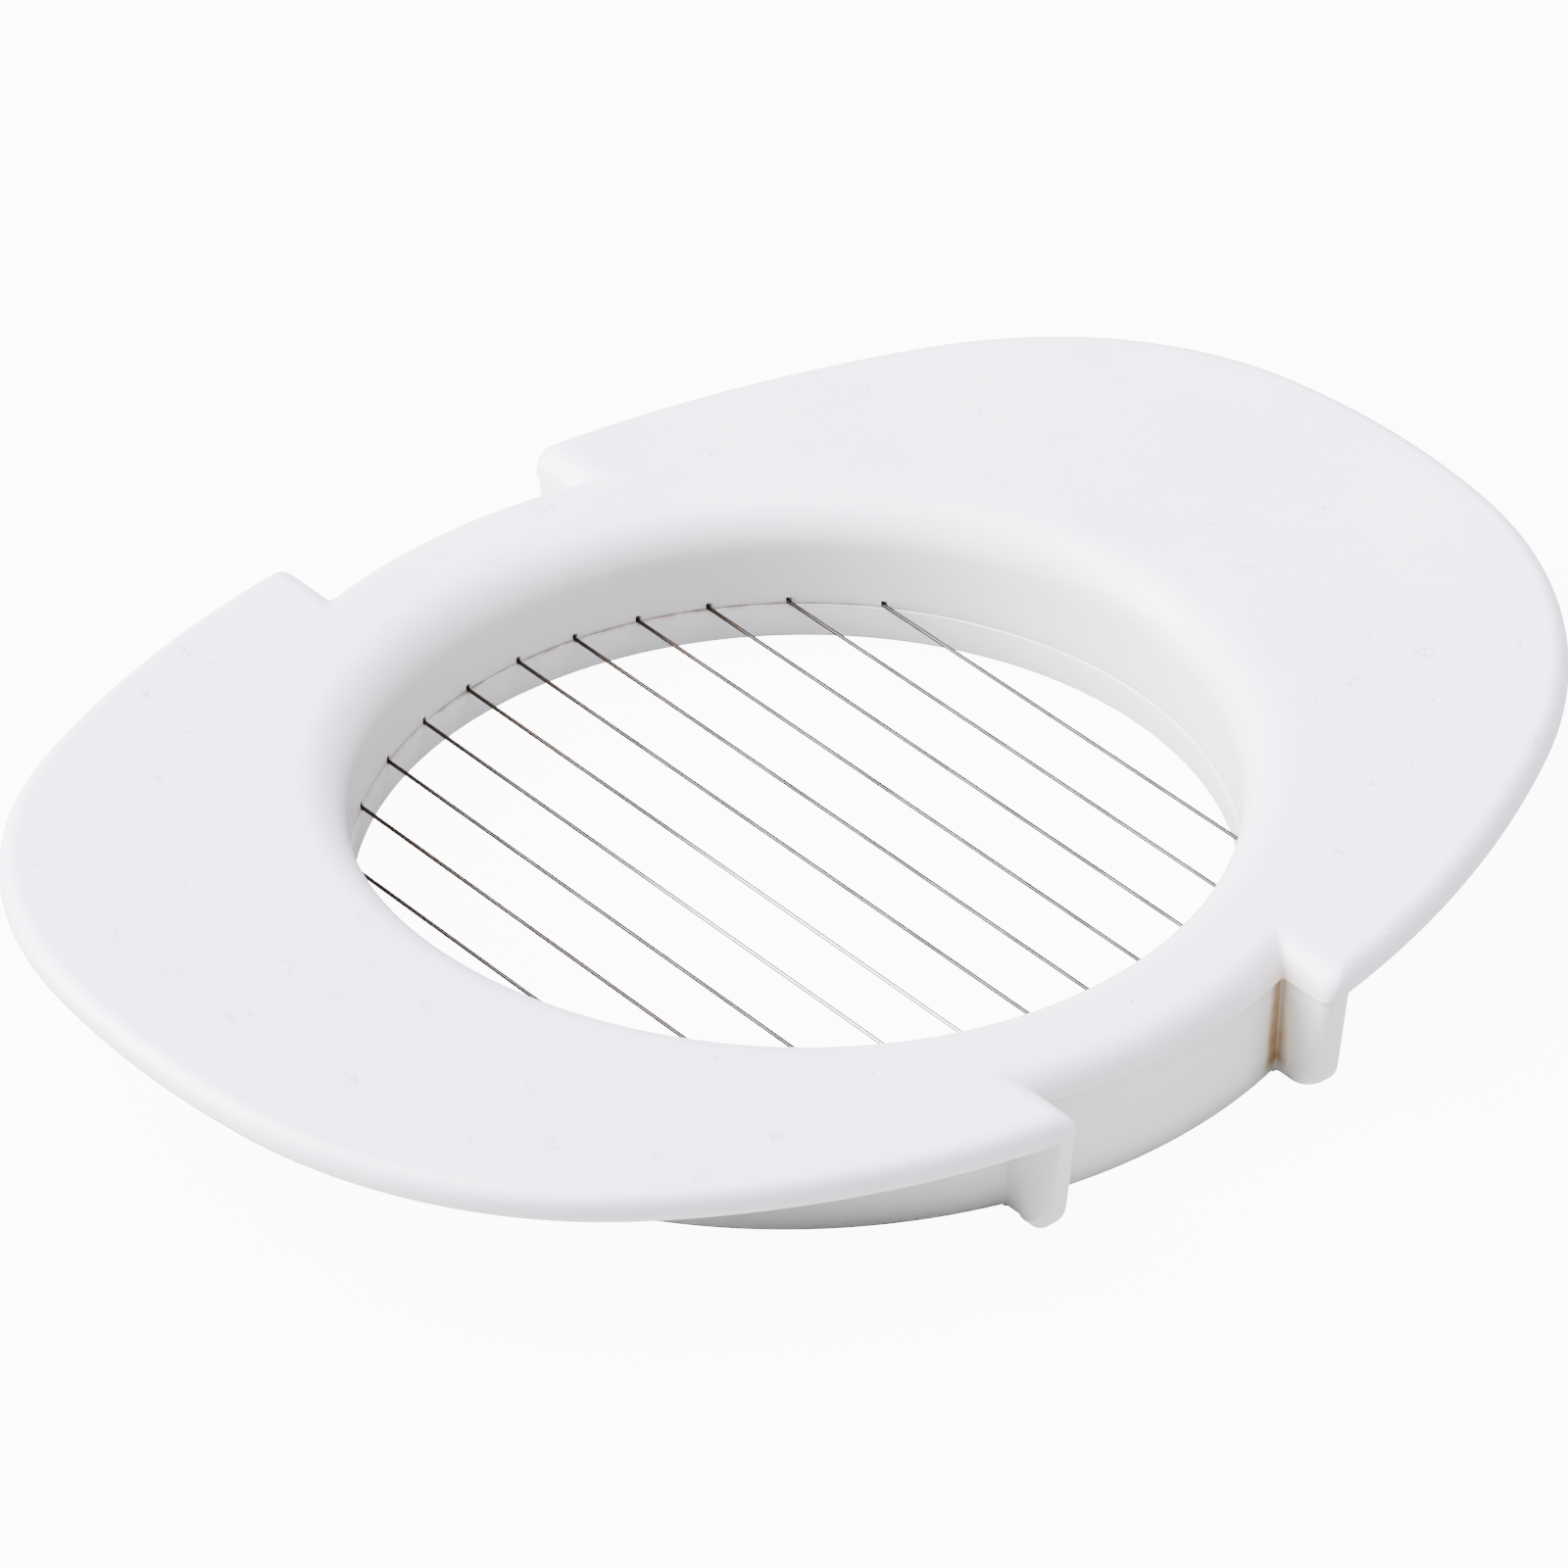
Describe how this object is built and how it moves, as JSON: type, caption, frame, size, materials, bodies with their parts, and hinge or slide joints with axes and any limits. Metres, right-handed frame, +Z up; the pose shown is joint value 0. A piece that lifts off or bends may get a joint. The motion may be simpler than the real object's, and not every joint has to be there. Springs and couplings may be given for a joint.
{
  "type": "egg slicer",
  "caption": "Hand-held egg slicer: an oval plate with upswept wings, a round collar and parallel steel wires strung across its hole.",
  "frame": {"origin": "middle of the hole, on the plane that the foot of the collar stands on", "axes": "+X towards one wing tip, +Y along the wires, +Z up through the hole, towards the side the egg is put in"},
  "size_m": [0.1164, 0.0892, 0.0144],
  "materials": {
    "white_plastic": "smooth moulded white with a soft gloss",
    "steel_wire": "drawn stainless wire"
  },
  "bodies": {
    "root": {"body": "white_plastic", "clamp_ring": "white_plastic", "wire_01": "steel_wire", "wire_02": "steel_wire", "wire_03": "steel_wire", "wire_04": "steel_wire", "wire_05": "steel_wire", "wire_06": "steel_wire", "wire_07": "steel_wire", "wire_08": "steel_wire", "wire_09": "steel_wire", "wire_10": "steel_wire", "wire_11": "steel_wire"}
  },
  "joints": []
}
